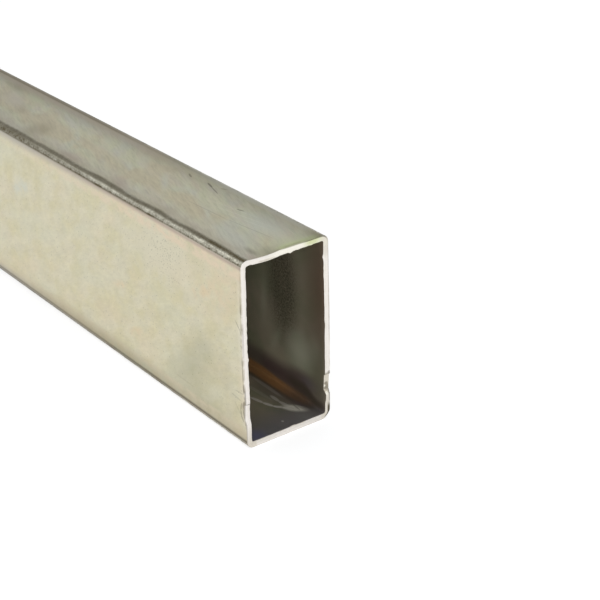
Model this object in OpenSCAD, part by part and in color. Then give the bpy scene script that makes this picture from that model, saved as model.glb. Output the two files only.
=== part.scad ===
// Rectangular steel tube: strip bent to a box section, welded shut, zinc plated and sawn to length.
// It lies on one of its narrow faces. X runs along the tube, Y across it and Z up.
// The origin is at the middle of the length, on the face that the tube lies on.

/* [Section] */
// Outside width of the narrow faces
tube_width = 25; // [16:1:100]
// Outside height of the wide faces
tube_height = 50; // [24:1:200]
// Thickness of the strip
wall = 1.5; // [0.8:0.1:3]
// Inside radius of the four bends
bend_radius = 0.5; // [0.2:0.1:3]

/* [Length] */
// Length of the piece as it is sold
tube_length = 1000; // [250:50:3000]

/* [Saw cut] */
// Height of the notch's foot above the face that the tube lies on
notch_foot = 6.7; // [4:0.1:8]
// Height of the notch from its foot to its square shoulder
notch_height = 5.5; // [3:0.1:10]
// Height of the slope between the notch's foot and its floor
notch_slope = 1.3; // [0.5:0.1:2.5]
// Depth of the notch along the tube at its shoulder, where two saw cuts met
notch_depth = 0.4; // [0.1:0.05:1.5]
// Further depth of the notch's floor towards the foot
notch_run = 0.25; // [0:0.05:0.5]

/* [Hidden] */

// The strip keeps its thickness round each bend, so both sides of a bend share one centre.
outer_radius = bend_radius + wall;
// How far a cutter reaches past the metal that it cuts
overshoot = 1;
// Facets to a full turn
$fn = 64;

// Rectangle that stands on the X axis and is centred on it, with round corners.
module rounded_rectangle(width, height, radius) {
    translate([-width / 2 + radius, 0])
        square([width - 2 * radius, height]);
    translate([-width / 2, radius])
        square([width, height - 2 * radius]);
    for (side = [-1, 1], level = [radius, height - radius])
        translate([side * (width / 2 - radius), level])
            circle(r = radius);
}

// Bent strip seen along the tube, with an even wall.
module box_section() {
    difference() {
        rounded_rectangle(tube_width, tube_height, outer_radius);
        translate([0, wall])
            rounded_rectangle(tube_width - 2 * wall, tube_height - 2 * wall, bend_radius);
    }
}

// Length of tube between two square cuts.
module sawn_length() {
    rotate([90, 0, 90])
        translate([0, 0, -tube_length / 2])
            linear_extrude(height = tube_length)
                box_section();
}

// Cutter for the shallow notch that two meeting saw cuts left across both wide faces at one end:
// a steep slope up from the foot, a floor that rises gently, and a square shoulder at the top.
module saw_notch() {
    reach = tube_width + 2 * overshoot;
    translate([tube_length / 2, reach / 2, notch_foot])
        rotate([90, 0, 0])
            linear_extrude(height = reach)
                polygon([
                    [overshoot, 0],
                    [0, 0],
                    [-notch_depth - notch_run, notch_slope],
                    [-notch_depth, notch_height],
                    [overshoot, notch_height]
                ]);
}

module tube() {
    color("#d3cbb1")
        difference() {
            sawn_length();
            saw_notch();
        }
}

tube();
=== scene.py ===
"""Looks of a zinc-plated rectangular steel tube that lies on a studio floor.

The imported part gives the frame: X runs along the tube towards its notched end, Y across it and Z up.
"""

import math

import bmesh
import bpy
from bpy.props import FloatProperty, FloatVectorProperty, IntProperty, PointerProperty
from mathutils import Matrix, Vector


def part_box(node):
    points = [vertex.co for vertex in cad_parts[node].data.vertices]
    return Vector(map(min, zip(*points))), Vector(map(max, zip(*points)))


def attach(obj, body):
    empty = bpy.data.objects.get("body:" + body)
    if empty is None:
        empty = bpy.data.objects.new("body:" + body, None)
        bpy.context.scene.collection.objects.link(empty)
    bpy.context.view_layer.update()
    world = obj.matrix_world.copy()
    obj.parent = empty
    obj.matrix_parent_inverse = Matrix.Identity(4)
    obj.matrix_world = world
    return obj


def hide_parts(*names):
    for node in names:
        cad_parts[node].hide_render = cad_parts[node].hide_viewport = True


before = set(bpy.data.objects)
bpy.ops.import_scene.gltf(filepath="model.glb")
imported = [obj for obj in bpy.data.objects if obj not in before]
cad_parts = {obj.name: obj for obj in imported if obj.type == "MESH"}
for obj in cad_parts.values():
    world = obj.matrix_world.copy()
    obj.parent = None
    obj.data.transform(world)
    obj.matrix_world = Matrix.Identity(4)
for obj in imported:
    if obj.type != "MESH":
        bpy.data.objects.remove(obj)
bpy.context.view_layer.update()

bl_info = {
    "name": "Rectangular Steel Tube",
    "version": (1, 0, 0),
    "blender": (4, 5, 0),
    "location": "3D View > Sidebar > Tube",
    "description": "Models a zinc-plated rectangular steel tube and the studio floor that it lies on",
    "category": "Add Mesh",
}

NODE = "tube"
MM = 0.001
LOW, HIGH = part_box(NODE)
LENGTH, WIDTH, HEIGHT = HIGH - LOW
NOTCHED_END = HIGH.x
X, Y, Z = 0, 1, 2
# How far behind an end's plane a vertex of its cut can lie
CUT_REACH = 1.2 * MM
# How far from a line a vertex on it can lie
SLACK = 0.01 * MM


def size(name, description, millimetres):
    """Property for a length that is given in millimetres."""
    length = millimetres * MM
    return FloatProperty(name=name, description=description, default=length, unit="LENGTH", precision=5)


def angle(name, description, degrees):
    """Property for an angle that is given in degrees."""
    return FloatProperty(name=name, description=description, default=math.radians(degrees), subtype="ANGLE")


def colour(name, description, linear):
    """Property for a colour in linear red, green and blue."""
    return FloatVectorProperty(
        name=name, description=description, default=linear, min=0, max=1, subtype="COLOR"
    )


def factor(name, description, number):
    """Property for a plain number."""
    return FloatProperty(name=name, description=description, default=number)


def power(name, description, watts):
    """Property for the power of a light in watts."""
    return FloatProperty(name=name, description=description, default=watts, unit="POWER")


class TubeSizes(bpy.types.PropertyGroup):
    """Sizes of the tube that its outside box doesn't give."""

    wall: size("Wall", "Thickness of the strip", 1.5)
    bend_radius: size("Bend radius", "Inside radius of the four bends", 0.5)
    bend_steps: IntProperty(name="Bend steps", description="Faces round each bend", default=8, min=3)
    grid: size("Grid", "Distance between the lines that run along the flat faces", 0.75)
    ring: size("Ring", "From the notched end to the first line round the tube", 1.5)
    ring_growth: factor("Ring growth", "How many times as far each next line lies", 1.35)
    plain_ring: size("Plain ring", "From the plain end to the first line round the tube", 2)
    plain_ring_growth: factor("Plain ring growth", "How many times as far the second line lies", 5)
    notch_foot: size("Notch foot", "Height of the notch's foot above the floor", 6.7)
    notch_height: size("Notch height", "From the notch's foot to its square shoulder", 5.5)
    notch_slope: size("Notch slope", "Height of the slope from the foot to the notch's floor", 1.3)
    notch_depth: size("Notch depth", "Depth of the notch along the tube", 0.4)
    notch_lean: angle("Notch lean", "Slope of the notch's floor, which is deeper towards the foot", 3)
    notch_lip: size("Notch lip", "How far the front inside edge stands out of the notch", 0.24)
    shoulder: size("Shoulder", "Height of the step at the notch's top", 0.08)
    cut_tilt: angle("Cut tilt", "Tilt of the notched end's cut, top forward", 0.42)
    cut_turn: angle("Cut turn", "Turn of the notched end's cut, back forward", 0.7)
    cut_wander: size("Cut wander", "How far the saw wandered along the tube", 0.2)
    wander_grain: size("Wander grain", "Distance over which the saw wandered", 4)
    burr: size("Burr", "Height of the burr round the inside of the cut", 0.3)
    burr_grain: size("Burr grain", "Distance over which the burr varies", 1.2)
    base_burr: size("Base burr", "How far the burr lifts the inside edge of the base", 0.12)
    filing: size("Filing", "How far the inside edge of the top is filed away", 0.06)
    filing_start: size("Filing start", "Where the filing starts, from the middle towards the back", 4)
    front_bow: size("Front bow", "How far the front face stands out at the notched end", 0.35)
    back_bow: size("Back bow", "How far the back face stands out at the notched end", 0.15)
    sag: size("Sag", "How far the top face dips at the notched end", 0.5)
    sag_reach: size("Sag reach", "Half width of the dip", 9)
    dip: size("Dip", "Depth of the second dip, towards the back", 0.2)
    dip_reach: size("Dip reach", "Half width of the second dip", 6)
    dip_place: size("Dip place", "From the middle to the second dip", 6)
    edge: size("Edge", "Width of the worn edges of the cuts", 0.12)
    edge_angle: angle("Edge angle", "Bluntest edge that is worn", 50)
    smooth_angle: angle("Smooth angle", "Sharpest edge that is shaded smooth", 35)
    corner_wear: size("Corner wear", "How far the lower back corner of the cut is worn in", 0.35)
    nib: size("Nib", "Height of the nibs on the burr", 0.4)
    nib_reach: size("Nib reach", "Half width of the nibs on the burr", 1)


class TubeColours(bpy.types.PropertyGroup):
    """Colours of the tube's finishes."""

    zinc: colour("Zinc", "Passivated zinc of the wide faces", (0.622, 0.582, 0.43))
    narrow_zinc: colour("Narrow zinc", "Greyer zinc of the narrow faces", (0.625, 0.59, 0.435))
    straw: colour("Straw", "Yellow tint of a thick passivation", (0.592, 0.546, 0.356))
    lilac: colour("Lilac", "Pale tint of a thin passivation", (0.636, 0.598, 0.464))
    blush: colour("Blush", "Warm tint of a thin passivation", (0.66, 0.563, 0.403))
    rose: colour("Rose", "Pink tint beside the bends", (0.455, 0.365, 0.305))
    pink: colour("Pink", "Pale pink tint of the wide faces near their bends", (0.69, 0.585, 0.44))
    ash: colour("Ash", "Grey tint beside the bends, away from the notched end", (0.43, 0.4, 0.345))
    orange: colour("Orange", "Small rusty tints", (0.65, 0.545, 0.37))
    sage: colour("Sage", "Green tint of a thin passivation", (0.595, 0.59, 0.45))
    moss: colour("Moss", "Green tint of a thick passivation", (0.595, 0.603, 0.409))
    tan: colour("Tan", "Brown tint of a thick passivation", (0.604, 0.537, 0.375))
    slate: colour("Slate", "Blue tint of a thin passivation", (0.576, 0.584, 0.497))
    violet: colour("Violet", "Violet tint of a thin passivation", (0.585, 0.535, 0.438))
    pewter: colour("Pewter", "Grey rubbed edge of the narrow faces", (0.505, 0.505, 0.435))
    # Also the grey of the painted shade towards the floor
    soot_and_shade: colour("Soot", "Grey smudges", (0.385, 0.378, 0.265))
    # Also the brown of the painted shade towards the floor and along the cut's edges
    umber_and_shade: colour("Umber", "Brown smudges", (0.375, 0.325, 0.21))
    scuffed: colour("Scuffed", "Rubbed, colourless zinc of the bends", (0.60, 0.58, 0.49))
    # Also painted shade and the painted dark reflections in the bends
    grime_and_shade: colour("Grime", "Dirt rubbed into pits and along the bends", (0.095, 0.08, 0.052))
    # Also the painted dark reflections in the top bends
    mud_and_reflection: colour("Mud", "Brown dirt along the bends", (0.097, 0.077, 0.036))
    # Also painted highlights along the bends and painted reflections on the inside's base
    bare_and_highlights: colour("Bare steel", "Sawn steel of the ends", (0.83, 0.785, 0.735))
    brown: colour("Brown", "Brown film of the inside near the cut", (0.173, 0.114, 0.078))
    dusk: colour("Dusk", "Blue-grey film of the inside's lower wall", (0.22, 0.214, 0.275))
    dull: colour("Dull inside", "Unpolished zinc of the inside", (0.44, 0.392, 0.29))
    dull_green: colour("Dull green", "Greener blots of the inside", (0.31, 0.325, 0.21))
    haze: colour("Haze", "Pale film and drips of the inside", (0.6, 0.62, 0.475))
    # Also painted shade along the lower back corner of the inside
    plum_and_shade: colour("Plum", "Dark film above the rusty corner of the inside", (0.135, 0.09, 0.088))
    stain: colour("Stain", "Brown stain on the cut by the notch", (0.54, 0.49, 0.39))
    # Also painted glints on the cut and a painted reflection on the inside's base
    cream_and_glint: colour("Cream", "Pale yellow of the cut's top", (0.92, 0.89, 0.78))
    lime: colour("Lime", "Yellow-green plating over the filed edge", (0.6, 0.64, 0.36))
    indigo: colour("Indigo", "Blue tint near the front edge of the inside", (0.2, 0.2, 0.34))
    rust: colour("Rust", "Brown stain along the lower corner of the inside", (0.43, 0.235, 0.092))


class StageSettings(bpy.types.PropertyGroup):
    """Floor, lights and camera."""

    floor_width: FloatProperty(name="Floor width", description="Side of the floor", default=40, unit="LENGTH")
    floor: colour("Floor", "Colour of the floor", (0.5, 0.5, 0.5))
    floor_glow: factor("Floor glow", "Strength of the light that the floor sends up", 0.7)
    sky: colour("Sky", "Even light of the room", (0.57, 0.585, 0.6))
    front_light: power("Front light", "Power of the box in front", 0.2)
    back_light: power("Back light", "Power of the box behind", 0.075)
    fill_light: power("Fill light", "Power of the box by the camera", 12)
    camera_place: FloatVectorProperty(
        name="Camera place",
        description="Where the camera stands",
        default=(0.7585, -0.1866, 0.1958),
        subtype="TRANSLATION",
    )
    camera_turn: FloatVectorProperty(
        name="Camera turn",
        description="Which way the camera looks",
        default=[math.radians(degrees) for degrees in (63.41, 1.26, 52.96)],
        subtype="EULER",
    )
    lens: FloatProperty(name="Lens", description="Focal length", default=91.56, unit="CAMERA")


class Value:
    """Output of a node. Arithmetic on it adds Math nodes to its finish."""

    def __init__(self, finish, socket):
        self.finish, self.socket = finish, socket

    def math(self, operation, *terms):
        return self.finish.node("ShaderNodeMath", {"operation": operation}, dict(enumerate(terms)))

    def __add__(self, other):
        return self.math("ADD", self, other)

    def __sub__(self, other):
        return self.math("SUBTRACT", self, other)

    def __mul__(self, other):
        return self.math("MULTIPLY", self, other)

    def __radd__(self, other):
        return self.math("ADD", other, self)

    def __rsub__(self, other):
        return self.math("SUBTRACT", other, self)

    def __rmul__(self, other):
        return self.math("MULTIPLY", other, self)

    def __abs__(self):
        return self.math("ABSOLUTE", self)

    def root(self):
        return self.math("SQRT", self)

    def least(self, other):
        return self.math("MINIMUM", self, other)

    def most(self, other):
        return self.math("MAXIMUM", self, other)

    def above(self, low, high):
        """0 below low, 1 above high, and a smooth step between."""
        return self.finish.node(
            "ShaderNodeMapRange",
            {"interpolation_type": "SMOOTHSTEP"},
            {"Value": self, "From Min": low, "From Max": high},
        )

    def below(self, low, high):
        """1 below low, 0 above high, and a smooth step between."""
        return 1 - self.above(low, high)

    def near(self, centre, reach):
        """1 at centre, falling smoothly to 0 at that reach to either side."""
        return abs(self - centre).below(0, reach)

    def within(self, low, high, fade):
        """1 between low and high, fading out over a distance on both sides."""
        return self.above(low - fade, low) * self.below(high, high + fade)


class Finish:
    """Material whose nodes are written as expressions. Lengths in it are millimetres from the notched end."""

    def __init__(self, name):
        self.material = bpy.data.materials.new(name)
        self.material.use_nodes = True
        self.tree = self.material.node_tree
        self.tree.nodes.clear()
        place = self.node("ShaderNodeTexCoord", output="Object")
        self.place = self.node(
            "ShaderNodeMapping",
            {"vector_type": "POINT"},
            {"Vector": place, "Location": (-NOTCHED_END / MM, 0, 0), "Scale": (1 / MM,) * 3},
        )
        axes = [self.node("ShaderNodeSeparateXYZ", {}, {0: self.place}, axis) for axis in "XYZ"]
        self.x, self.y, self.z = axes
        self.ragged = self.cloud(2.4, detail=2)

    def node(self, kind, settings=None, inputs=None, output=0):
        """Adds a node, sets its settings, then its sockets' values or links, and returns an output."""
        node = self.tree.nodes.new(kind)
        for name, value in (settings or {}).items():
            setattr(node, name, value)
        for name, value in (inputs or {}).items():
            if isinstance(value, Value):
                self.tree.links.new(value.socket, node.inputs[name])
            else:
                node.inputs[name].default_value = value
        return Value(self, node.outputs[output]) if node.outputs else None

    def mix(self, share, under, over):
        """Lays one colour over another."""
        under, over = (tone if isinstance(tone, Value) else (*tone, 1) for tone in (under, over))
        return self.node("ShaderNodeMix", {"data_type": "RGBA"}, {0: share, 6: under, 7: over}, 2)

    def dim(self, tone, share):
        """Scales the brightness of a colour."""
        return self.node("ShaderNodeVectorMath", {"operation": "SCALE"}, {0: tone, "Scale": share})

    def spot(self, centre, reach, turn=(0, 0, 0)):
        """Place measured from a centre, in half axes of an ellipsoid that is turned round it."""
        return self.node(
            "ShaderNodeMapping",
            {"vector_type": "TEXTURE"},
            {"Vector": self.place, "Location": centre, "Rotation": turn, "Scale": reach},
        )

    def cloud(self, grain, stretch=(1, 1, 1), detail=3, roughness=0.5, turn=(0, 0, 0), shift=0, swirl=0):
        """Soft random pattern with blots of about that many millimetres, drawn out by stretch."""
        place = self.spot((shift, shift, shift), [grain * s for s in stretch], turn)
        inputs = {"Vector": place, "Scale": 1, "Detail": detail, "Roughness": roughness, "Distortion": swirl}
        return self.node("ShaderNodeTexNoise", {}, inputs)

    def pits(self, spacing, size, share):
        """Scattered dots of that size, in a share of the cells of that spacing."""
        cells = {"Vector": self.spot((0, 0, 0), (spacing,) * 3), "Scale": 1}
        dot = self.node("ShaderNodeTexVoronoi", {}, cells, "Distance")
        cell = self.node("ShaderNodeTexVoronoi", {}, cells, "Color")
        chance = self.node("ShaderNodeSeparateColor", {}, {0: cell})
        return dot.below(0.4 * size / spacing, size / spacing) * (chance - share).below(0, 0.02)

    def patch(self, centre, reach, turn=(0, 0, 0)):
        """1 at centre, falling to 0 on an ellipsoid with those half axes."""
        place = self.spot(centre, reach, turn)
        return self.node("ShaderNodeTexGradient", {"gradient_type": "SPHERICAL"}, {"Vector": place}, "Fac")

    def bump(self, height, distance):
        """Relief whose full height is that many millimetres."""
        return self.node("ShaderNodeBump", {}, {"Height": height, "Distance": distance * MM, "Strength": 1})

    def metal(self, tone, roughness, relief, metallic=1, shine=0.5):
        """Ends the finish with a metal shader."""
        shader = self.node(
            "ShaderNodeBsdfPrincipled",
            {},
            {
                "Base Color": tone,
                "Roughness": roughness,
                "Normal": relief,
                "Metallic": metallic,
                "Specular IOR Level": shine,
            },
        )
        self.node("ShaderNodeOutputMaterial", {}, {"Surface": shader})
        return self.material


class Face:
    """Flat side of the tube, inside or out, for marks at millimetres along the tube and across the side."""

    # How far a mark reaches through the side
    DEPTH = 3
    # Half length of a scratch's straight parts by the distance between its points, so that they join
    JOIN = 0.7

    def __init__(self, finish, axis, level):
        self.finish, self.axis, self.level = finish, axis, level

    def order(self, along, across, depth):
        """Puts distances along, across and through the side in the order of the axes."""
        return (along, depth, across) if self.axis == Y else (along, across, depth)

    def patch(self, along, across, length, width, tilt=0):
        """1 at its middle, falling to 0 on an ellipse with that half length and half width."""
        turn = (0, -math.radians(tilt), 0) if self.axis == Y else (0, 0, math.radians(tilt))
        centre = self.order(along, across, self.level)
        reach = self.order(length, width, self.DEPTH)
        return self.finish.patch(centre, reach, turn)

    def film(self, *place):
        """Soft patch."""
        return self.patch(*place).above(0, 1)

    def blot(self, *place):
        """Patch that is broken up."""
        return self.patch(*place).above(0, 0.9) * self.finish.ragged.above(0.25, 0.7)

    def scratch(self, width, *points):
        """Fine line through points along and across the side."""
        line = None
        for (start_along, start), (end_along, end) in zip(points, points[1:]):
            length = math.hypot(end_along - start_along, end - start)
            tilt = math.degrees(math.atan2(end - start, end_along - start_along))
            middle = ((start_along + end_along) / 2, (start + end) / 2)
            part = self.patch(*middle, length * self.JOIN, width, tilt).above(0, 0.4)
            line = line.most(part) if line else part
        return line


def outer_radius(sizes):
    """Outside radius of the bends, where the strip keeps its thickness."""
    return sizes.bend_radius + sizes.wall


def round_section(finish):
    """How far round the section from the middle of the nearest bend.

    It is below 0 on a wide face and above 0 on a narrow one.
    """
    middle = HEIGHT / 2 / MM
    beside = WIDTH / 2 / MM - abs(finish.y)
    under = middle - abs(finish.z - middle)
    return beside - under


def into_wall(finish, sizes):
    """How deep in the wall, from the outside."""
    radius, middle = outer_radius(sizes) / MM, HEIGHT / 2 / MM
    beside = abs(finish.y) - (WIDTH / 2 / MM - radius)
    under = abs(finish.z - middle) - (middle - radius)
    beyond = beside.most(0) * beside.most(0) + under.most(0) * under.most(0)
    return radius - beyond.root() - beside.most(under).least(0)


def wide_face_tone(finish, colours):
    """Pale straw zinc with yellow blots, and the smudges, blushes and scratches of the front face."""
    slant = (0, math.radians(-25), 0)
    blots = finish.cloud(3.6, (1.8, 1, 1), turn=slant)
    tints = finish.cloud(8, (1.8, 1, 1), detail=2, turn=slant, shift=70)
    tone = finish.mix(blots.above(0.42, 0.72) * 0.75, colours.zinc, colours.straw)
    tone = finish.mix(blots.below(0.3, 0.54) * 0.5, tone, colours.lilac)
    tone = finish.mix(tints.above(0.5, 0.75) * 0.35, tone, colours.blush)
    tone = finish.mix(tints.below(0.28, 0.5) * 0.4, tone, colours.sage)

    brushed = finish.cloud(0.9, (2.5, 1, 1), detail=4, roughness=0.7, turn=slant, shift=20)
    mottle = finish.cloud(3.4, (1.8, 1, 1), detail=1, turn=slant, shift=35)
    tone = finish.dim(tone, 0.765 + 0.28 * brushed + 0.18 * mottle)

    front = Face(finish, Y, LOW.y / MM)
    pale = front.film(-34, 41, 24, 13)
    tone = finish.mix(pale * 0.8, tone, colours.lilac)
    for shade, strength, *place in (
        (colours.blush, 0.8, -9, 39, 15, 10, 25),
        (colours.orange, 0.9, -17, 36, 8, 2.5, 25),
        (colours.straw, 0.9, -47, 32, 6, 5),
        (colours.straw, 0.9, -36, 32, 6, 5),
        (colours.straw, 0.9, -27, 31, 5, 5),
        (colours.orange, 0.8, -56, 23.2, 6, 2, 20),
        (colours.orange, 0.9, -49.5, 12, 6, 2, 25),
        (colours.slate, 0.9, -108.5, 34, 9, 4, 20),
    ):
        tone = finish.mix(front.blot(*place) * strength, tone, shade)

    smoke = finish.cloud(5, (1.6, 1, 1), detail=3, turn=slant, shift=40)
    for shade, strength, *place in (
        (colours.soot_and_shade, 0.85, -19, 18, 13, 10, 30),
        (colours.soot_and_shade, 0.85, -24, 11, 18, 9, 25),
        (colours.soot_and_shade, 0.7, -17, 6, 14, 9),
        (colours.umber_and_shade, 0.4, -8, 17, 7, 8),
        (colours.umber_and_shade, 0.3, -5, 7, 9, 8),
    ):
        tone = finish.mix(front.film(*place) * (smoke + 0.1) * strength, tone, shade)
    tone = finish.mix(front.film(0, 18, 4, 10) * 0.5, tone, colours.blush)
    tone = finish.mix(front.film(-3, 3, 4, 6) * 0.6, tone, colours.blush)
    tone = finish.mix(finish.x.above(-2.2, -0.8) * 0.2, tone, colours.bare_and_highlights)
    tone = finish.mix(front.film(0, 10.5, 3, 7) * finish.ragged.above(0.3, 0.6) * 0.6, tone, colours.rose)

    density = 0.1 + 0.8 * pale
    tone = finish.mix(finish.pits(0.7, 0.2, density) * 0.4, tone, colours.grime_and_shade)
    tone = finish.mix(finish.pits(0.8, 0.28, front.film(-31, 41, 10, 6)) * 0.3, tone, colours.grime_and_shade)
    for strength, width, *points in (
        (0.35, 0.4, (-1.6, 12.4), (-2.2, 10.4), (-2, 8.6), (-1.2, 7.4)),
        (0.5, 0.35, (-0.8, 13), (-1.2, 11), (-1, 9), (-0.4, 7.6)),
        (0.2, 0.3, (-5.6, 13.4), (-1.9, 12.9)),
        (0.2, 0.3, (-3.9, 15), (-1, 15.2)),
        (0.15, 0.3, (-4.4, 11.4), (-2.4, 9)),
        (0.4, 0.2, (-2.6, 34.2), (-0.8, 32.2), (-0.3, 31)),
        (0.15, 0.2, (-38, 43), (-36.5, 40.5)),
        (0.12, 0.25, (-31, 7.6), (-23, 7.4)),
    ):
        tone = finish.mix(front.scratch(width, *points) * strength, tone, colours.grime_and_shade)
    return tone


def narrow_face_tone(finish, colours):
    """Greyer zinc with slanting wisps of tan, green and violet, and the marks of the top face."""
    slant = (0, 0, math.radians(-18))
    wisps = finish.cloud(2.6, (4.5, 1, 1), turn=slant, swirl=0.4)
    tints = finish.cloud(7, (2.2, 1, 1), detail=2, turn=slant, shift=90, swirl=0.5)
    tone = finish.mix(wisps.above(0.42, 0.68) * 0.6, colours.narrow_zinc, colours.moss)
    tone = finish.mix(wisps.below(0.32, 0.52) * 0.6, tone, colours.violet)
    tone = finish.mix(tints.below(0.3, 0.5) * 0.5, tone, colours.slate)
    streak = finish.y.near(-2.8, 5) * finish.x.below(-26, -16)
    tone = finish.mix((tints + streak * 0.17).above(0.48, 0.7) * 0.85, tone, colours.tan)
    tone = finish.mix(finish.y.below(-9, -5.5) * 0.5, tone, colours.violet)
    feathers = finish.cloud(1.4, (5, 1, 1), detail=4, roughness=0.6, turn=slant, shift=55, swirl=0.4)
    tone = finish.dim(tone, 0.865 + 0.28 * feathers)
    strokes = finish.cloud(0.55, (7, 1, 1), detail=2, turn=slant, shift=15)
    tone = finish.mix(strokes.below(0.3, 0.6) * 0.12, tone, colours.grime_and_shade)

    top = Face(finish, Z, HEIGHT / MM)
    for shade, strength, *place in (
        (colours.slate, 0.8, -13, 4, 15, 8),
        (colours.slate, 0.6, -11, -5, 12, 5),
        (colours.moss, 0.8, -2, 3, 4, 9),
        (colours.soot_and_shade, 0.75, -1, -4.5, 4, 5),
        (colours.umber_and_shade, 0.7, -1, 10, 4, 3),
        (colours.tan, 0.5, -23, -4, 5, 5, -34),
        (colours.sage, 0.7, -87, 4.5, 7, 2.5, -30),
        (colours.sage, 0.7, -68, 4.5, 7, 2.5, -30),
        (colours.slate, 0.6, -51, 0, 8, 1.6, -34),
        (colours.umber_and_shade, 0.75, -107, -6, 8, 6, -30),
        (colours.rose, 0.6, -83, -9.5, 10, 3),
        (colours.rose, 0.6, -58, -9, 9, 3.5, -30),
        (colours.umber_and_shade, 0.4, -35, -9, 5, 3),
        (colours.umber_and_shade, 0.5, -125.5, -1.4, 6, 2.5, -20),
        (colours.umber_and_shade, 0.6, -144, 7, 9, 3.5, -20),
        (colours.violet, 0.9, -134, 1, 12, 4, -15),
        (colours.moss, 0.8, -131, 6, 10, 3, -15),
    ):
        tone = finish.mix(top.film(*place) * (0.4 + wisps) * strength, tone, shade)
    for strength, width, *points in (
        (0.6, 0.35, (-52, 8), (-49.8, 7.2)),
        (0.7, 0.35, (-43.6, 8.2), (-40.6, 7.4)),
        (0.5, 0.25, (-40.8, 7.4), (-36.4, 6.2)),
        (0.5, 0.3, (-38.4, 8.6), (-36.6, 9.6)),
        (0.2, 0.18, (-37, -2), (-22, -1.2), (-6, 0.8)),
        (0.5, 0.3, (-25, 4.2), (-23, 4.8)),
    ):
        tone = finish.mix(top.scratch(width, *points) * strength, tone, colours.grime_and_shade)
    tone = finish.mix(top.film(-3.4, -7, 4, 1.5) * 0.42, tone, colours.grime_and_shade)
    tone = finish.mix(top.film(-1, -8.8, 3, 2) * 0.5, tone, colours.rose)
    tone = finish.mix(finish.x.above(-2.4, -0.4) * finish.y.within(0, 8, 3) * 0.8, tone, colours.lime)
    for points in (((-31, 1), (-11, 4.5)), ((-27, 0.2), (-10, 3.2)), ((-33, 2.5), (-18, 5))):
        tone = finish.mix(top.scratch(0.2, *points) * 0.15, tone, colours.bare_and_highlights)
    # Painted shade: the top face darker towards its back edge
    tone = finish.dim(tone, 1 - 0.24 * finish.y.above(2, 9.5))
    tone = finish.mix(finish.y.above(5, 10) * finish.x.below(-75, -25) * wisps, tone, colours.umber_and_shade)
    tone = finish.mix(finish.y.above(6.5, 9) * finish.x.below(-75, -60) * wisps * 0.8, tone, colours.rose)
    rubbed = finish.y.above(8.8, 10) * finish.x.above(-75, -30) * finish.x.below(-8, -3)
    return finish.mix(rubbed * 0.7, tone, colours.pewter)


def bend_dirt_and_reflections(finish, across, speckle, worn, patchy, toward_cut):
    """Two dark lines along the bends, partly dirt and partly painted reflections of a dark room, and a paler
    strip between them, a painted highlight that dims away from the notched end. They wander along the tube.
    """
    close_to_cut = finish.x.above(-50, -25)
    sink = 2 * (worn - 0.5) * finish.x.below(-135, -115)
    for centre, reach, drop in (
        (-116, 7, 0.2),
        (-100, 5, 0.2),
        (-76, 10, 0.3),
        (-64, 6, -0.28),
        (-48, 9, 0.45),
        (-37, 5, -0.18),
        (-29, 7, 0.36),
        (-2, 6, 0.2),
    ):
        sink = sink + finish.x.near(centre, reach) * drop
    low_side = across + 0.15 + 0.25 * finish.x.below(-55, -40) + 0.4 * sink
    # Painted reflection of a dark room in the upper part of each bend, partly dirt
    upper_line = low_side.above(-0.3, 1.1) * (across + sink).below(1.33, 2.43)
    upper_line = upper_line * (1 - finish.y.above(0, 1) * (0.3 + 0.5 * toward_cut))
    spots = finish.x.near(-64, 3).most(finish.x.near(-39, 3))
    # Painted reflection of a dark room in the lower part of each bend, partly dirt
    lower_line = across.near(0.15 * close_to_cut - 1.3, 0.75 - 0.2 * close_to_cut) * (0.85 - 0.1 * close_to_cut + 0.4 * spots)
    # Painted highlight: the strip between the lines is dimmed less towards the notched end
    strip = 0.78 - 0.3 * finish.x.above(-110, -80) - 0.25 * finish.x.above(-74, -64)
    strip = strip + 0.05 * finish.x.above(-58, -48) - 0.08 * finish.x.above(-25, -18)
    dirt_and_shade = (upper_line * (0.8 + 0.15 * finish.x.above(-22, -14))).most(lower_line)
    dirt_and_shade = dirt_and_shade.most(across.within(-1, 0.5, 0.5) * strip)
    loose = across.within(-1.1, 1.8, 0.5) * (1 - 0.75 * upper_line)
    return dirt_and_shade + loose * ((1.4 + finish.x.above(-30, -5)) * (0.5 - speckle) + (0.5 - patchy))


def edge_dirt_and_shade(finish):
    """Dark lines along the back of the top and round the cut, and a painted shadow along the base, where the
    tube meets the floor.
    """
    back_line = 0.55 - 0.3 * finish.x.above(-100, -75) - 0.2 * finish.x.above(-60, -30)
    dirt_and_shade = finish.y.near(10.1, 0.9) * finish.z.above(45, 46) * back_line
    # Painted shadow: a dark line along the base bend, just above the floor
    dirt_and_shade = dirt_and_shade.most(finish.z.near(2.05, 0.8) * (0.82 - 0.2 * finish.x.below(-80, -40)))
    cut_edge = 0.6 + 0.3 * finish.z.within(5, 16, 3) - 0.4 * finish.z.above(37, 42)
    dirt_and_shade = dirt_and_shade.most(finish.x.above(-1, -0.2) * finish.ragged.above(0.35, 0.6) * cut_edge)
    return dirt_and_shade.most(finish.x.above(-1.5, -0.5) * finish.y.above(10.5, 11) * finish.z.below(2, 6))


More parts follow.
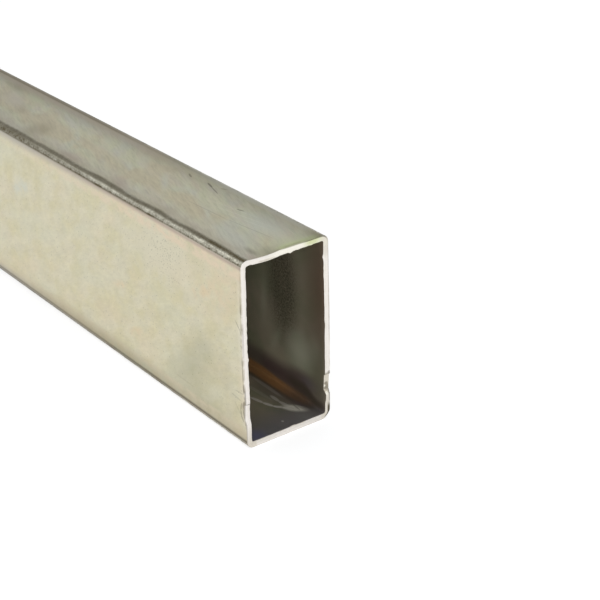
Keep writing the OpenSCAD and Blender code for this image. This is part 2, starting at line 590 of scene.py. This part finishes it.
def zinc_finish(colours):
    """Passivated zinc outside, rubbed and dirty along the bends, with painted reflections and highlights
    there, painted shade towards the floor, and dark towards the cut.
    """
    finish = Finish("passivated_zinc")
    across = round_section(finish)
    wide, narrow = wide_face_tone(finish, colours), narrow_face_tone(finish, colours)
    tone = finish.mix(across.above(-0.5, 1.5), wide, narrow)

    speckle = finish.cloud(0.5, (1.2, 1, 1), detail=3, roughness=0.6)
    worn = finish.cloud(9, (3, 1, 1), detail=3, shift=30)
    patchy = finish.cloud(2.2, (1.5, 1, 1), detail=2, shift=60)
    toward_cut = finish.x.above(-115, -30)
    pink = across.within(-4.5, -2.2, 1.5) * (0.3 + 0.7 * toward_cut) * patchy.above(0.3, 0.65)
    tone = finish.mix(pink, tone, colours.pink)
    beside_bend = finish.mix(toward_cut, colours.ash, colours.rose)
    tone = finish.mix(across.near(-1.8, 2.6 - 1.5 * toward_cut) * (0.6 + 0.5 * worn), tone, beside_bend)
    tone = finish.mix(across.within(2, 3, 1.3) * finish.x.below(-8, -3) * 0.22, tone, colours.umber_and_shade)
    bend = abs(across).below(1, 2)
    tone = finish.mix(bend * 0.8, tone, colours.scuffed)

    # Painted shade: the outside darker towards the floor, brown with grey patches
    low = 0.36 + 0.5 * patchy + 0.3 * finish.x.near(-58, 45) - 0.4 * finish.x.below(-125, -95)
    shade_patches = finish.x.above(-85, -45) * patchy.above(0.35, 0.65)
    floor_shade = finish.mix(shade_patches, colours.umber_and_shade, colours.soot_and_shade)
    tone = finish.mix(finish.z.below(2.5, 7.5) * low, tone, floor_shade)
    # Dirt together with the painted reflections in the bends and the painted shadow along the base
    dirt_and_shade = bend_dirt_and_reflections(finish, across, speckle, worn, patchy, toward_cut)
    dirt_and_shade = dirt_and_shade.most(edge_dirt_and_shade(finish)).most(0).least(1)
    # Painted highlights: bare-steel lines along the back top bend and the bends at the base
    top_back_highlight = finish.y.above(10.8, 11.4) * finish.z.above(47, 48)
    base_highlight = (finish.z - 0.3 * finish.x.below(-90, -20)).below(1.25, 1.8)
    tone = finish.mix(top_back_highlight.most(base_highlight) * (1 - dirt_and_shade), tone, colours.bare_and_highlights)
    tone = finish.mix(dirt_and_shade, tone, finish.mix(finish.z.above(20, 30), colours.grime_and_shade, colours.mud_and_reflection))

    grain = finish.cloud(0.4, detail=2)
    tone = finish.mix(grain.below(0.3, 0.55) * 0.07, tone, colours.grime_and_shade)
    roughness = 0.36 + grain * 0.1 - bend * 0.05 + dirt_and_shade * 0.2
    relief = finish.bump(speckle * bend + 0.3 * grain + worn, 0.02)
    return finish.metal(tone, roughness, relief, 1 - dirt_and_shade * 0.8, 0.2)


def rusty_corner(finish, tone, colours, corner, back, blots):
    """Lays painted shade, dark plum bands and grime, and a blue-grey film and rust along the lower back
    corner of the inside, fading towards the cut.
    """
    there = finish.y.above(3, 6)
    # Painted shade: dark plum bands low on the back wall above the corner, and grime along the corner below
    plum_and_shade = corner.within(-1.5, 4.5 + 1.2 * finish.x.above(-18, -10), 4)
    plum_and_shade = plum_and_shade * (0.35 + 0.5 * finish.x.below(-9, -2) - 0.2 * finish.x.below(-34, -22))
    tone = finish.mix(plum_and_shade * there, tone, colours.plum_and_shade)
    tone = finish.mix(back.film(-7, 7, 5, 3) * 0.2, tone, colours.dusk)
    ending = finish.x.above(-9, -3)
    band = corner.near(3.3 - 2.1 * ending, 2.4 - 0.6 * ending) * there
    tone = finish.mix(band * finish.x.within(-24, -3, 5) * 0.85, tone, colours.plum_and_shade)
    tone = finish.mix(band * finish.x.within(-12, -3, 6) * 0.75, tone, colours.grime_and_shade)
    shade = corner.within(-1, 1.2, 1.5) * there * finish.x.within(-11, -5, 4)
    tone = finish.mix(shade * 0.45, tone, colours.grime_and_shade)
    base_side = 1.5 * finish.x.above(-14, -4) - 1.8
    back_side = 0.5 + 0.7 * finish.x.below(-27, -18)
    rust = corner.within(base_side, back_side, 1.4) * there * finish.x.below(-11, -2.5)
    tone = finish.mix(rust * (0.55 + 0.5 * blots - 0.45 * finish.x.above(-19, -9)), tone, colours.rust)
    return finish.mix(corner.near(-2.6, 1.1) * there * finish.x.below(-11, -8) * 0.5, tone, colours.grime_and_shade)


def inside_finish(sizes, colours):
    """Dull zinc of the inside, with stains, drips, scratches, painted shade towards the cut and along the
    lower back corner, a painted shadow on the back wall, painted reflections on the base and a rusty lower
    corner at the back.
    """
    finish = Finish("dull_inside")
    wall = sizes.wall / MM
    inner_y = HIGH.y / MM - wall
    blots = finish.cloud(7, (1.5, 1, 1.5), detail=4)
    speckle = finish.cloud(0.5, detail=3)
    tone = finish.mix(blots.above(0.4, 0.65) * 0.7, colours.dull, colours.dull_green)
    # Painted shade: the inside darker towards the cut
    tone = finish.mix(finish.x.above(-20, 2) * 0.58, tone, colours.grime_and_shade)

    back, base = Face(finish, Y, inner_y), Face(finish, Z, wall)
    # Painted shadow: a dark, speckled patch high on the back wall
    shade_patches = back.patch(-16.7, 31, 9.5, 24).above(0, 0.75) * (0.75 + 1.8 * (0.5 - speckle))
    tone = finish.mix(shade_patches, tone, colours.grime_and_shade)
    for shade, strength, *place in (
        (colours.haze, 0.6, -10.5, 14, 8, 9),
        (colours.haze, 0.3, -25, 23, 2.2, 11, -6),
        (colours.haze, 0.25, -20.5, 13.5, 2.2, 7, -30),
        (colours.brown, 0.85, 0, 36, 12, 33),
        (colours.haze, 0.15, -4, 17.5, 4, 6),
    ):
        tone = finish.mix(back.film(*place) * strength, tone, shade)
    tone = finish.mix(finish.z.below(2, 4) * finish.x.above(-14, -2) * 0.52, tone, colours.dusk)
    corner = (finish.z - wall) - (inner_y - finish.y)
    tone = rusty_corner(finish, tone, colours, corner, back, blots)

    tone = finish.mix(base.film(-17, 6, 12, 3.5) * 0.5, tone, colours.plum_and_shade)
    # The first two strokes, curving across the base, are painted reflections; the other two are faint pale
    # lines along the tube
    for strength, width, *points in (
        (0.75, 0.6, (-18, 1.2), (-14, 2), (-11, 3), (-9, 4.4), (-7, 6)),
        (0.45, 0.65, (-15.5, 5.6), (-12, 5.5), (-8, 6)),
        (0.15, 0.7, (-26, 4), (-14, 4.5)),
        (0.2, 0.7, (-26, 7.6), (-14, 7.4)),
    ):
        tone = finish.mix(base.scratch(width, *points) * strength, tone, colours.bare_and_highlights)
    streaks = finish.cloud(0.5, (6, 1, 1), detail=2, turn=(0, 0, math.radians(25))).above(0.35, 0.6)
    # Painted reflection: a pale, streaky patch on the base near the cut
    pale_reflection = base.patch(-6.8, 6.5, 4.6, 2, 33).above(0, 0.7)
    tone = finish.mix(pale_reflection * (0.65 + 0.45 * streaks), tone, colours.cream_and_glint)
    tone = finish.mix(base.scratch(0.3, (-8.4, 7.4), (-5.2, 7)) * 0.35, tone, colours.grime_and_shade)
    tone = finish.mix(base.film(-2.2, 7.5, 4, 5) * 0.17, tone, colours.slate)
    tone = finish.mix(base.patch(-3.6, 0.5, 0.5, 0.4).above(0, 0.4) * 0.5, tone, colours.bare_and_highlights)
    tone = finish.mix(base.film(-2, -8.5, 5, 4) * 0.7, tone, colours.indigo)
    relief = finish.bump(blots + 0.2 * speckle, 0.02)
    return finish.metal(tone, 0.45, relief, 0.55)


def sawn_finish(sizes, colours):
    """Bright steel with fine saw marks, a line along the middle of the wall, and stains in the notch."""
    finish = Finish("sawn_steel")
    marks = finish.cloud(0.3, (1, 12, 0.6), detail=3)
    tone = finish.mix(marks.below(0.3, 0.5) * 0.2, colours.bare_and_highlights, colours.narrow_zinc)
    depth = into_wall(finish, sizes)
    tone = finish.mix(depth.near(1, 0.3) * finish.ragged.above(0.4, 0.55) * 0.25, tone, colours.narrow_zinc)
    # Painted shade: brown along the cut's outer and inner edges
    edges = depth.below(0.02, 0.2).most(depth.above(1.35, 1.5))
    tone = finish.mix(edges * finish.ragged.above(0.35, 0.6) * 0.5, tone, colours.umber_and_shade)
    notched = finish.x.above(-20, -10)
    front, back = finish.y.below(-10, -9.5) * notched, finish.y.above(9.5, 10) * notched
    # Painted shade: the cut darker at its foot, more so towards the back
    tone = finish.dim(tone, 1 - finish.z.below(1.4, 1.7) * (0.07 + 0.06 * finish.y.above(0, 8)))
    bright = notched * finish.z.above(46.5, 47.5) * finish.y.above(-6, -2)
    tone = finish.mix(bright * 0.6, tone, colours.cream_and_glint)
    lime = finish.patch((0, 8, 50), (3, 4, 3)).above(0, 0.8) * (0.6 + 0.8 * finish.ragged)
    tone = finish.mix(notched * lime, tone, colours.lime)
    stain = (front * finish.z.below(1, 7) * 0.5).most(back * finish.z.within(7.6, 9.6, 1.5) * 0.9)
    stain = stain.most(back * finish.z.below(5, 9) * 0.45).most(back * finish.z.within(8, 12.4, 0.5) * 0.65)
    stain = stain.most(notched * finish.patch((0, 12, 47.6), (3, 3, 4.4)).above(0, 0.6) * 0.42)
    tone = finish.mix(stain, tone, colours.stain)
    for place in ((0, 11.2, 9), (0, 11.6, 7)):
        glint = notched * finish.patch(place, (2, 0.5, 0.6)).above(0, 0.5)
        tone = finish.mix(glint * 0.8, tone, colours.cream_and_glint)
    line = depth.below(0.1, 0.35)
    dirt_and_shade = line * front * (finish.z.within(3, 15, 3) + finish.z.within(27, 32, 4) * 0.5) * 0.5
    dirt_and_shade = dirt_and_shade.most(line * back * finish.z.within(26, 47, 4) * 0.25)
    dirt_and_shade = dirt_and_shade.most(depth.below(0.6, 0.9) * back * finish.y.above(10.6, 11.4) * finish.z.below(3, 5))
    dirt_and_shade = dirt_and_shade.most(depth.below(0.2, 0.45) * back * finish.z.within(5, 8.2, 0.8) * 0.65)
    dirt_and_shade = dirt_and_shade.most(back * finish.z.near(12.5, 0.7) * 0.4)
    dirt_and_shade = dirt_and_shade.most(front * finish.z.near(12.2, 0.35) * 0.6)
    dirt_and_shade = dirt_and_shade.most(notched * finish.patch((0, 12, 8.6), (2, 0.8, 1.3)).above(0, 0.6) * 0.6)
    filed = notched * depth.below(0.3, 0.5) * finish.z.above(47.5, 48.5)
    dirt_and_shade = dirt_and_shade.most(filed * finish.y.within(6.5, 11.2, 1.5) * 0.75)
    for place in ((0, 12.3, 12.7), (0, 11.7, 9.6), (0, 11.6, 8.4)):
        dirt_and_shade = dirt_and_shade.most(notched * finish.patch(place, (2, 0.7, 0.7)).above(0, 0.5) * 0.6)
    tone = finish.mix(filed * finish.y.within(0, 7, 1.5) * 0.8, tone, colours.soot_and_shade)
    tone = finish.mix(dirt_and_shade, tone, colours.grime_and_shade)
    relief = finish.bump(marks, 0.03)
    return finish.metal(tone, 0.35, relief)


def pick(kind, test):
    """Selects those vertices, edges or faces of the edit mesh that pass a test, and no others."""
    mesh = bpy.context.object.data
    bpy.ops.mesh.select_mode(type={"verts": "VERT", "edges": "EDGE", "faces": "FACE"}[kind])
    bpy.ops.mesh.select_all(action="DESELECT")
    edited = bmesh.from_edit_mesh(mesh)
    found = [item for item in getattr(edited, kind) if test(item)]
    for item in found:
        item.select_set(True)
    edited.select_flush_mode()
    bmesh.update_edit_mesh(mesh)
    if not found:
        raise RuntimeError(f"no {kind} were found to select")


def cut(axis, place):
    """Cuts a line round the edit mesh where a plane square to an axis crosses it."""
    point, normal = Vector(), Vector()
    point[axis], normal[axis] = place, 1
    bpy.ops.mesh.select_all(action="SELECT")
    bpy.ops.mesh.bisect(plane_co=point, plane_no=normal, threshold=0.001 * MM)


def spaced(low, high, step):
    """Evenly spaced places between two limits, without the limits."""
    count = round((high - low) / step)
    return [low + (high - low) * k / count for k in range(1, count)]


def apply_modifier(tube, kind, **settings):
    """Adds a modifier to the tube, sets it up and applies it."""
    modifier = tube.modifiers.new(kind.lower(), kind)
    for name, value in settings.items():
        setattr(modifier, name, value)
    bpy.ops.object.modifier_apply(modifier=modifier.name)


def bend_sleeve(sizes):
    """Outside of the tube: a box without ends, its long edges bent round."""
    bpy.ops.object.select_all(action="DESELECT")
    bpy.ops.mesh.primitive_cube_add(size=1, location=(LOW + HIGH) / 2, scale=HIGH - LOW)
    tube = bpy.context.object
    tube.name = tube.data.name = "tube_body"
    bpy.ops.object.transform_apply(location=True, rotation=True, scale=True)
    bpy.ops.object.mode_set(mode="EDIT")
    pick("faces", lambda face: abs(face.normal.x) > 0.5)
    bpy.ops.mesh.delete(type="FACE")
    pick("edges", lambda edge: edge.calc_length() > LENGTH / 2)
    bpy.ops.mesh.bevel(offset=outer_radius(sizes), segments=sizes.bend_steps, profile=0.5, affect="EDGES")
    return tube


def cut_grid(sizes):
    """Cuts the lines that the ends are shaped by, closer together towards the notched end."""
    flat = outer_radius(sizes)
    notch_top = sizes.notch_foot + sizes.notch_height
    levels = [sizes.notch_foot, sizes.notch_foot + sizes.notch_slope, notch_top, notch_top + sizes.shoulder]
    levels += spaced(flat, sizes.notch_foot, sizes.grid)
    levels += spaced(sizes.notch_foot + sizes.notch_slope, notch_top, sizes.grid)
    levels += spaced(notch_top + sizes.shoulder, HEIGHT - flat, sizes.grid)
    for level in levels:
        cut(Z, level)
    for place in spaced(LOW.y + flat, HIGH.y - flat, sizes.grid):
        cut(Y, place)
    reach = sizes.ring
    while reach < LENGTH:
        cut(X, NOTCHED_END - reach)
        reach *= sizes.ring_growth
    for reach in (sizes.plain_ring, sizes.plain_ring * sizes.plain_ring_growth):
        cut(X, LOW.x + reach)


def pick_on_cut(test=None):
    """Selects the vertices of the notched end's cut, or those of them that pass a test."""
    pick("verts", lambda v: v.co.x > NOTCHED_END - CUT_REACH and (test is None or test(v)))


def in_bore(vertex, sizes):
    """Whether a vertex lies on the inside of the wall."""
    inside = sizes.wall / 2
    return LOW.y + inside < vertex.co.y < HIGH.y - inside and inside < vertex.co.z < HEIGHT - inside


def push(value, reach):
    """Moves the selected vertices, and those within reach of them by less and less."""
    bpy.ops.transform.translate(
        value=value, use_proportional_edit=True, proportional_edit_falloff="SMOOTH", proportional_size=reach
    )


def notch_cut(sizes):
    """Cuts the notch, with its leaning floor and the lip that stands in it, and tilts and turns the cut."""
    low, top = sizes.notch_foot + sizes.notch_slope, sizes.notch_foot + sizes.notch_height

    def in_notch(vertex):
        return low - SLACK < vertex.co.z < top + SLACK

    pick_on_cut(in_notch)
    bpy.ops.transform.translate(value=(-sizes.notch_depth, 0, 0))
    shoulder = (NOTCHED_END - sizes.notch_depth, 0, top)
    bpy.ops.transform.rotate(value=-sizes.notch_lean, orient_axis="Y", center_override=shoulder)
    pick_on_cut(lambda v: in_notch(v) and in_bore(v, sizes) and v.co.y < 0)
    bpy.ops.transform.translate(value=(sizes.notch_lip, 0, 0))
    pick_on_cut()
    centre = (NOTCHED_END, 0, HEIGHT / 2)
    bpy.ops.transform.rotate(value=-sizes.cut_tilt, orient_axis="Y", center_override=centre)
    bpy.ops.transform.rotate(value=sizes.cut_turn, orient_axis="Z", center_override=centre)


def warp_cut(sizes):
    """Bows and dips the walls at the cut, moves its inside edge and wears its lower back corner."""
    thick = 2 * sizes.wall
    bow_level, sag_place = HEIGHT * 0.53, LOW.y + WIDTH * 0.27

    def beside(place, middle):
        return abs(place - middle) < sizes.grid

    def on_top(vertex):
        return vertex.co.z > HEIGHT - thick

    pick_on_cut(lambda v: v.co.y < LOW.y + thick and beside(v.co.z, bow_level))
    push((0, -sizes.front_bow, 0), HEIGHT / 2)
    pick_on_cut(lambda v: v.co.y > HIGH.y - thick and beside(v.co.z, HEIGHT / 2))
    push((0, sizes.back_bow, 0), HEIGHT / 2)
    pick_on_cut(lambda v: on_top(v) and beside(v.co.y, sag_place))
    push((0, 0, -sizes.sag), sizes.sag_reach)
    pick_on_cut(lambda v: on_top(v) and beside(v.co.y, sizes.dip_place))
    push((0, 0, -sizes.dip), sizes.dip_reach)

    pick_on_cut(lambda v: in_bore(v, sizes) and v.co.z < thick)
    bpy.ops.transform.translate(value=(0, 0, sizes.base_burr))
    pick_on_cut(lambda v: in_bore(v, sizes) and on_top(v) and v.co.y > sizes.filing_start)
    bpy.ops.transform.translate(value=(0, 0, sizes.filing))

    corner = Vector((HIGH.y - sizes.wall / 2, sizes.wall / 2))
    pick_on_cut(lambda v: not in_bore(v, sizes) and (v.co.yz - corner).length < sizes.grid)
    push((0, -0.5 * sizes.corner_wear, sizes.corner_wear), sizes.wall)


def nib_burr(sizes):
    """Pulls out single nibs on the burr, and pushes in nicks between them."""
    # Millimetres across and up the cut, and which way the nib points by its height
    for across, level, way in (
        (1.4, 48.1, (0, 0, -1)),
        (11.2, 44.1, (0, -0.7, 0)),
        (-11.2, 24, (0, 0.6, 0)),
        (-11.2, 45.4, (0, -0.3, 0)),
        (-11.2, 46.8, (0, -0.25, 0)),
        (-9.8, 48.3, (0, 0, 0.5)),
        (3.2, 48.3, (0, 0, -0.25)),
        (11.2, 41.3, (0, -0.3, 0)),
        (11.2, 39.6, (0, -0.35, 0)),
        (11.2, 26, (0, 0.3, 0)),
        (11, 6.5, (0, 0.7, 0)),
        (11, 5.6, (0, 0.6, 0)),
        (1.2, 1.7, (0, 0, 0.4)),
    ):
        place = Vector((across, level)) * MM
        pick_on_cut(lambda v: in_bore(v, sizes) and (v.co.yz - place).length < 0.75 * sizes.grid)
        push(sizes.nib * Vector(way), sizes.nib_reach)


def roughen_cuts(tube, sizes):
    """Lets the saw wander over both ends, and raises a burr round their inside edges."""

    def on_end(vertex):
        return abs(vertex.co.x) > LENGTH / 2 - CUT_REACH

    groups = {"cut": on_end, "burr": lambda v: on_end(v) and in_bore(v, sizes)}
    for name, test in groups.items():
        pick("verts", test)
        bpy.ops.object.vertex_group_assign_new()
        tube.vertex_groups.active.name = name
    bpy.ops.object.mode_set(mode="OBJECT")
    for group, grain, direction, strength in (
        ("cut", sizes.wander_grain, "X", sizes.cut_wander),
        ("burr", sizes.burr_grain, "NORMAL", sizes.burr),
    ):
        texture = bpy.data.textures.new(group, "CLOUDS")
        texture.noise_scale = grain
        apply_modifier(
            tube,
            "DISPLACE",
            texture=texture,
            texture_coords="LOCAL",
            mid_level=0.5,
            vertex_group=group,
            direction=direction,
            strength=strength,
        )


class OBJECT_OT_build_tube(bpy.types.Operator):
    """Model the tube in place of its plain solid and give it its finishes"""

    bl_idname = "object.build_tube"
    bl_label = "Build Tube"
    bl_options = {"REGISTER", "UNDO"}

    def execute(self, context):
        sizes, colours = context.scene.tube_sizes, context.scene.tube_colours
        tube = bend_sleeve(sizes)
        cut_grid(sizes)
        bpy.ops.object.mode_set(mode="OBJECT")
        for material in (zinc_finish(colours), inside_finish(sizes, colours), sawn_finish(sizes, colours)):
            tube.data.materials.append(material)
        apply_modifier(
            tube,
            "SOLIDIFY",
            thickness=sizes.wall,
            offset=-1,
            use_even_offset=True,
            material_offset=1,
            material_offset_rim=2,
        )
        bpy.ops.object.mode_set(mode="EDIT")
        notch_cut(sizes)
        warp_cut(sizes)
        nib_burr(sizes)
        roughen_cuts(tube, sizes)
        apply_modifier(
            tube, "BEVEL", width=sizes.edge, segments=2, limit_method="ANGLE", angle_limit=sizes.edge_angle
        )
        bpy.ops.object.shade_smooth_by_angle(angle=sizes.smooth_angle)
        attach(tube, "root")
        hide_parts(NODE)
        return {"FINISHED"}


def add_light(name, watts, towards, distance, width):
    """Square soft box that faces the notched end from one side."""
    aim = Vector((NOTCHED_END, 0, HEIGHT / 2))
    towards = Vector(towards).normalized()
    bpy.ops.object.light_add(
        type="AREA", location=aim + towards * distance, rotation=towards.to_track_quat("Z", "Y").to_euler()
    )
    light = bpy.context.object
    light.name = light.data.name = name
    light.data.size, light.data.energy = width, watts
    light.visible_camera = False


class SCENE_OT_build_stage(bpy.types.Operator):
    """Lay the floor, hang the lights and set up the camera"""

    bl_idname = "scene.build_stage"
    bl_label = "Build Stage"
    bl_options = {"REGISTER", "UNDO"}

    def execute(self, context):
        stage = context.scene.tube_stage
        bpy.ops.object.select_all(action="DESELECT")
        bpy.ops.mesh.primitive_plane_add(size=stage.floor_width)
        floor = context.object
        floor.name = floor.data.name = "floor"
        finish = bpy.data.materials.new("floor")
        finish.use_nodes = True
        shader = finish.node_tree.nodes["Principled BSDF"]
        shader.inputs["Base Color"].default_value = (*stage.floor, 1)
        shader.inputs["Roughness"].default_value = 1
        shader.inputs["Specular IOR Level"].default_value = 0
        shader.inputs["Emission Color"].default_value = (1, 1, 1, 1)
        shader.inputs["Emission Strength"].default_value = stage.floor_glow
        floor.data.materials.append(finish)

        world = bpy.data.worlds.new("studio")
        world.use_nodes = True
        world.node_tree.nodes["Background"].inputs["Color"].default_value = (*stage.sky, 1)
        context.scene.world = world
        add_light("front_box", stage.front_light, towards=(-0.72, -0.45, 0.53), distance=0.6, width=0.25)
        add_light("back_box", stage.back_light, towards=(-0.7, 0.55, 0.46), distance=0.65, width=0.35)
        add_light("fill_box", stage.fill_light, towards=(0.85, -0.45, 0.3), distance=1.5, width=1.0)
        context.scene.view_settings.view_transform = "Standard"

        bpy.ops.object.camera_add(location=stage.camera_place, rotation=stage.camera_turn)
        camera = context.object
        camera.name = camera.data.name = "camera"
        camera.data.lens = stage.lens
        camera.data.clip_start = 0.01
        context.scene.camera = camera
        return {"FINISHED"}


class VIEW3D_PT_tube(bpy.types.Panel):
    """Sizes, colours and stage of the tube"""

    bl_label = "Rectangular Steel Tube"
    bl_space_type = "VIEW_3D"
    bl_region_type = "UI"
    bl_category = "Tube"

    def draw(self, context):
        scene = context.scene
        for title, group, operator in (
            ("Tube", (scene.tube_sizes, scene.tube_colours), OBJECT_OT_build_tube),
            ("Stage", (scene.tube_stage,), SCENE_OT_build_stage),
        ):
            box = self.layout.box()
            box.label(text=title)
            for settings in group:
                for name in settings.__annotations__:
                    box.prop(settings, name)
            box.operator(operator.bl_idname)


CLASSES = (TubeSizes, TubeColours, StageSettings, OBJECT_OT_build_tube, SCENE_OT_build_stage, VIEW3D_PT_tube)


def register():
    for cls in CLASSES:
        bpy.utils.register_class(cls)
    bpy.types.Scene.tube_sizes = PointerProperty(type=TubeSizes)
    bpy.types.Scene.tube_colours = PointerProperty(type=TubeColours)
    bpy.types.Scene.tube_stage = PointerProperty(type=StageSettings)


def unregister():
    del bpy.types.Scene.tube_stage, bpy.types.Scene.tube_colours, bpy.types.Scene.tube_sizes
    for cls in reversed(CLASSES):
        bpy.utils.unregister_class(cls)


def main():
    register()
    bpy.ops.object.build_tube()
    bpy.ops.scene.build_stage()


if __name__ == "__main__":
    main()
